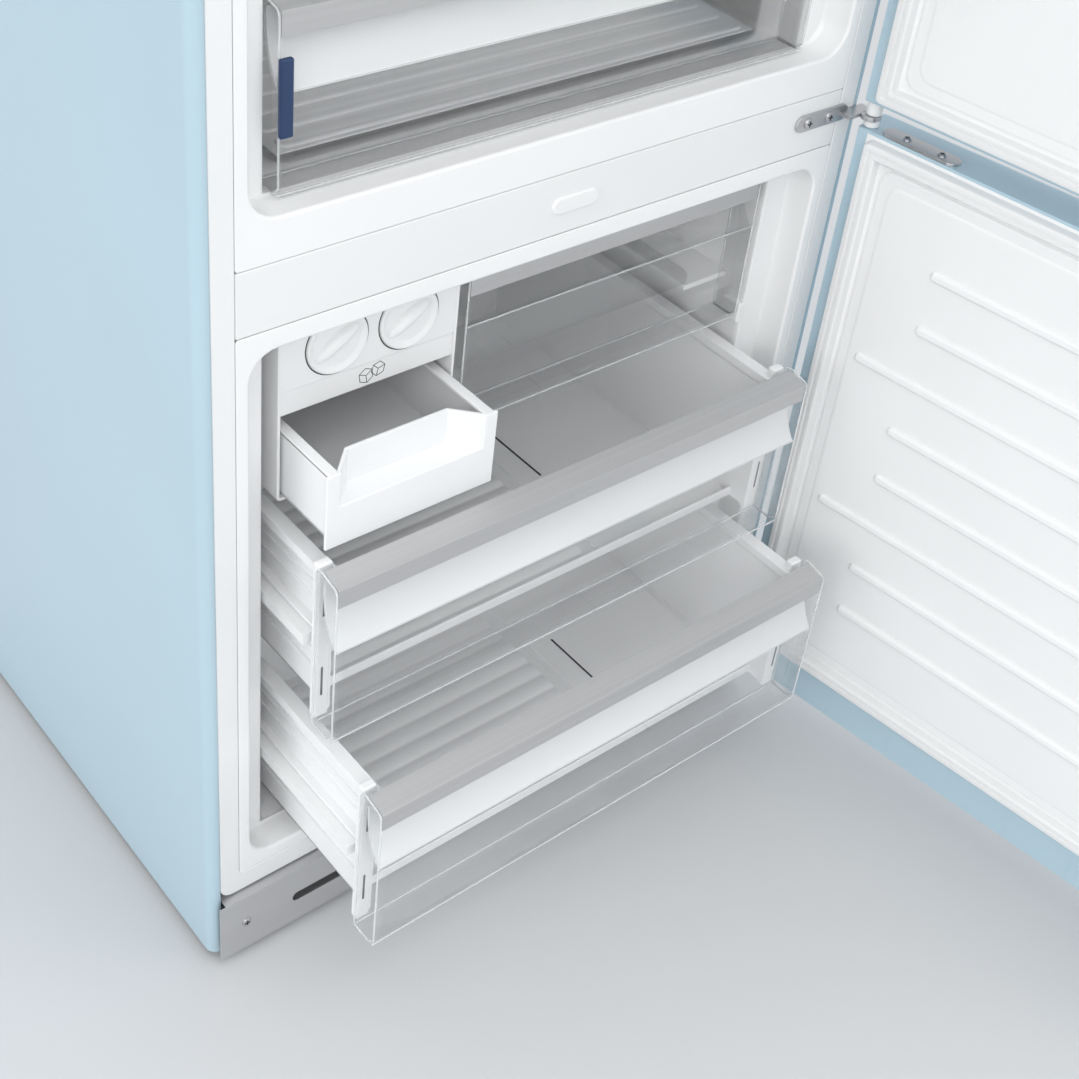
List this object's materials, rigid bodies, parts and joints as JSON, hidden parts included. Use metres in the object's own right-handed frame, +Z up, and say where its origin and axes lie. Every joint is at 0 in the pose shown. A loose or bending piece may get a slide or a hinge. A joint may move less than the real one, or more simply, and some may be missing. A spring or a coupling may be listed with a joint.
{
  "type": "bottom freezer refrigerator",
  "caption": "Tall free-standing fridge with a freezer below, both doors open, clear-fronted freezer drawers, ice maker with rotary knobs and a crisper above.",
  "frame": {"origin": "on the floor under the middle of the cabinet", "axes": "+X to the right seen from the front, -Y out of the front, +Z up"},
  "size_m": [0.8753, 1.3615, 1.916],
  "materials": {
    "blue_enamel": "smooth satin pale blue enamel",
    "white_frame": "smooth moulded white, low gloss",
    "white_liner": "vacuum-formed white polystyrene, soft gloss",
    "white_moulding": "injection-moulded white plastic",
    "white_seal": "soft matt magnetic seal",
    "tub_white": "translucent white moulded tub",
    "clear_plastic": "clear moulded polystyrene",
    "shelf_glass": "tempered glass with a green edge",
    "brushed_strip": "brushed metal trim, grain along the width",
    "hinge_steel": "bright stamped steel",
    "kick_grey": "satin grey",
    "handle_metal": "satin chrome",
    "galvanised": "galvanised sheet",
    "foam": "rigid polyurethane foam, pale yellow",
    "black_paint": "black paint",
    "black_rubber": "matt black",
    "dark_plastic": "matt dark grey moulding",
    "slider_blue": "dark blue moulding",
    "evaporator_metal": "plain aluminium fins"
  },
  "bodies": {
    "cabinet": {"outer_shell": "blue_enamel", "back_panel": "galvanised", "base_chassis": "galvanised", "insulation": "foam", "front_frame": "white_frame", "mid_rail": "white_frame", "mid_rail_cap": "white_moulding", "fridge_liner": "white_liner", "freezer_liner": "white_liner", "kick_plate": "kick_grey", "fixing_screws": "hinge_steel", "front_feet": "black_rubber", "compressor": "black_paint", "condenser": "black_paint", "evaporator": "evaporator_metal", "evaporator_cover": "white_liner", "drain_tray": "dark_plastic", "cable_gland": "black_rubber", "top_hinge": "hinge_steel", "mid_hinge": "hinge_steel", "bottom_hinge": "hinge_steel", "hinge_bushes": "white_moulding", "control_panel": "white_moulding", "glass_shelves": "shelf_glass", "ice_module": "white_moulding"},
    "upper_door": {"upper_door_skin": "blue_enamel", "upper_door_foam": "foam", "upper_door_liner": "white_liner", "upper_door_gasket": "white_seal", "upper_door_handle": "handle_metal", "upper_door_bins": "clear_plastic"},
    "lower_door": {"lower_door_skin": "blue_enamel", "lower_door_foam": "foam", "lower_door_liner": "white_liner", "lower_door_gasket": "white_seal", "lower_door_handle": "handle_metal", "door_stop": "hinge_steel"},
    "lower_runners": {"lower_runners": "white_moulding"},
    "lower_drawer": {"lower_tub": "tub_white", "lower_front": "clear_plastic", "lower_strip": "brushed_strip"},
    "middle_runners": {"middle_runners": "white_moulding"},
    "middle_drawer": {"middle_tub": "tub_white", "middle_front": "clear_plastic", "middle_strip": "brushed_strip"},
    "ice_runners": {"ice_runners": "white_moulding"},
    "ice_bin": {"ice_bin": "tub_white"},
    "flap": {"flap_panel": "clear_plastic", "flap_strip": "brushed_strip"},
    "left_knob": {"left_knob": "white_moulding", "left_ice_tray": "clear_plastic"},
    "right_knob": {"right_knob": "white_moulding", "right_ice_tray": "clear_plastic"},
    "crisper": {"crisper_tub": "clear_plastic", "crisper_front": "clear_plastic", "crisper_strip": "brushed_strip"},
    "humidity_slider": {"humidity_slider": "slider_blue"},
    "rear_rollers": {"rear_rollers": "dark_plastic"},
    "fan": {"fan_rotor": "dark_plastic"},
    "control_dial": {"control_dial": "white_moulding"}
  },
  "joints": [
    {"name": "upper_door_hinge", "type": "hinge", "parent": "cabinet", "child": "upper_door", "pos_m": [0.345, -0.338, 1.333], "axis": [0, 0, 1], "range_deg": [-97, 13]},
    {"name": "lower_door_hinge", "type": "hinge", "parent": "cabinet", "child": "lower_door", "pos_m": [0.345, -0.338, 0.396], "axis": [0, 0, 1], "range_deg": [-97, 13]},
    {"name": "lower_runner_slide", "type": "slide", "parent": "cabinet", "child": "lower_runners", "axis": [0, -1, 0], "range_m": [-0.1665, 0.0227]},
    {"name": "lower_drawer_slide", "type": "slide", "parent": "lower_runners", "child": "lower_drawer", "axis": [0, -1, 0], "range_m": [0, 0.12]},
    {"name": "middle_runner_slide", "type": "slide", "parent": "cabinet", "child": "middle_runners", "axis": [0, -1, 0], "range_m": [-0.0905, 0.0126]},
    {"name": "middle_drawer_slide", "type": "slide", "parent": "middle_runners", "child": "middle_drawer", "axis": [0, -1, 0], "range_m": [0, 0.28]},
    {"name": "ice_runner_slide", "type": "slide", "parent": "cabinet", "child": "ice_runners", "axis": [0, -1, 0], "range_m": [-0.0635, 0.0089]},
    {"name": "ice_bin_slide", "type": "slide", "parent": "ice_runners", "child": "ice_bin", "axis": [0, -1, 0], "range_m": [0, 0.13]},
    {"name": "flap_hinge", "type": "hinge", "parent": "cabinet", "child": "flap", "pos_m": [0.095, -0.2774, 0.524], "axis": [1, 0, 0], "range_deg": [0, 90]},
    {"name": "left_tray_turn", "type": "hinge", "parent": "cabinet", "child": "left_knob", "pos_m": [-0.21, -0.216, 0.6555], "axis": [0, 1, 0], "range_deg": [0, 150]},
    {"name": "right_tray_turn", "type": "hinge", "parent": "cabinet", "child": "right_knob", "pos_m": [-0.14, -0.216, 0.6555], "axis": [0, 1, 0], "range_deg": [0, 150]},
    {"name": "crisper_slide", "type": "slide", "parent": "cabinet", "child": "crisper", "axis": [0, -1, 0], "range_m": [0, 0.35]},
    {"name": "humidity_slide", "type": "slide", "parent": "crisper", "child": "humidity_slider", "axis": [0, 0, 1], "range_m": [-0.035, 0.012]},
    {"name": "roller_spin", "type": "hinge", "parent": "cabinet", "child": "rear_rollers", "pos_m": [0, 0.274, 0.018], "axis": [1, 0, 0], "continuous": true},
    {"name": "fan_spin", "type": "hinge", "parent": "cabinet", "child": "fan", "pos_m": [0, 0.21, 0.6315], "axis": [0, 1, 0], "continuous": true},
    {"name": "dial_turn", "type": "hinge", "parent": "cabinet", "child": "control_dial", "pos_m": [0.1, -0.236, 1.846], "axis": [0, 1, 0], "range_deg": [-135, 135]}
  ],
  "couplings": [
    {"joint": "lower_runner_slide", "follows": "lower_door_hinge", "m_per_rad": 0.098053},
    {"joint": "middle_runner_slide", "follows": "lower_door_hinge", "m_per_rad": 0.053161},
    {"joint": "ice_runner_slide", "follows": "lower_door_hinge", "m_per_rad": 0.037213}
  ]
}
